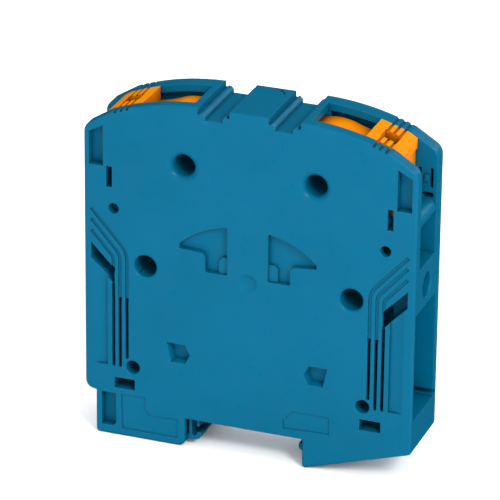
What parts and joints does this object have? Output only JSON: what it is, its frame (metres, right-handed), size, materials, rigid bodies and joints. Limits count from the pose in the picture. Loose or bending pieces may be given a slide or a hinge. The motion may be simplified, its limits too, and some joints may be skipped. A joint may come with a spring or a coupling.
{
  "type": "din rail terminal block",
  "caption": "Feed-through terminal block for a 35 mm hat rail, with a lever-operated spring clamp at each end and a sliding foot latch",
  "frame": {"origin": "level with the tops of the rail's lips, midway between them, at the middle of the block's width", "axes": "+X across the rail towards the fixed foot, +Y along the rail towards the cover, +Z away from the rail"},
  "size_m": [0.1082, 0.025, 0.1157],
  "materials": {
    "case_plastic": "satin moulded polyamide, blue",
    "lever_plastic": "satin moulded polyamide, orange",
    "latch_plastic": "satin moulded polyamide, blue",
    "frame_steel": "stamped steel, dark zinc-nickel plating",
    "spring_steel": "rolled spring strip",
    "pin_steel": "drawn steel pin",
    "bar_copper": "tin-plated copper"
  },
  "bodies": {
    "case": {"housing": "case_plastic", "cover": "case_plastic", "current_bar": "bar_copper", "latch_spring": "spring_steel", "clamp_frame_right": "frame_steel", "lever_axle_right": "case_plastic", "jaw_pin_right": "pin_steel", "clamp_spring_right": "spring_steel", "clamp_frame_left": "frame_steel", "lever_axle_left": "case_plastic", "jaw_pin_left": "pin_steel", "clamp_spring_left": "spring_steel"},
    "lever_right": {"lever_right": "lever_plastic", "crank_pin_right": "pin_steel"},
    "jaw_right": {"clamp_jaw_right": "spring_steel", "jaw_link_pin_right": "pin_steel"},
    "link_right": {"pull_link_right": "spring_steel"},
    "lever_left": {"lever_left": "lever_plastic", "crank_pin_left": "pin_steel"},
    "jaw_left": {"clamp_jaw_left": "spring_steel", "jaw_link_pin_left": "pin_steel"},
    "link_left": {"pull_link_left": "spring_steel"},
    "latch": {"foot_latch": "latch_plastic"}
  },
  "joints": [
    {"name": "lever_right_swing", "type": "hinge", "parent": "case", "child": "lever_right", "pos_m": [0.02145, -0.001, 0.0894], "axis": [0, -1, 0], "range_deg": [0, 40]},
    {"name": "jaw_right_swing", "type": "hinge", "parent": "case", "child": "jaw_right", "pos_m": [0.0186, -0.001, 0.0796], "axis": [0, -1, 0], "range_deg": [0, 40], "deforming": ["clamp_spring_right"]},
    {"name": "link_right_swing", "type": "hinge", "parent": "lever_right", "child": "link_right", "pos_m": [0.02759, -0.001, 0.08282], "axis": [0, -1, 0], "range_deg": [-40, 0]},
    {"name": "lever_left_swing", "type": "hinge", "parent": "case", "child": "lever_left", "pos_m": [-0.02145, -0.001, 0.0894], "axis": [0, 1, 0], "range_deg": [0, 40]},
    {"name": "jaw_left_swing", "type": "hinge", "parent": "case", "child": "jaw_left", "pos_m": [-0.0186, -0.001, 0.0796], "axis": [0, 1, 0], "range_deg": [0, 40], "deforming": ["clamp_spring_left"]},
    {"name": "link_left_swing", "type": "hinge", "parent": "lever_left", "child": "link_left", "pos_m": [-0.02759, -0.001, 0.08282], "axis": [0, 1, 0], "range_deg": [-40, 0]},
    {"name": "latch_slide", "type": "slide", "parent": "case", "child": "latch", "axis": [-1, 0, 0], "range_m": [0, 0.003], "stiffness_N_per_m": 1500, "deforming": ["latch_spring"]}
  ],
  "couplings": [
    {"joint": "jaw_right_swing", "follows": "lever_right_swing", "ratio": 1},
    {"joint": "link_right_swing", "follows": "lever_right_swing", "ratio": -1},
    {"joint": "jaw_left_swing", "follows": "lever_left_swing", "ratio": 1},
    {"joint": "link_left_swing", "follows": "lever_left_swing", "ratio": -1}
  ]
}
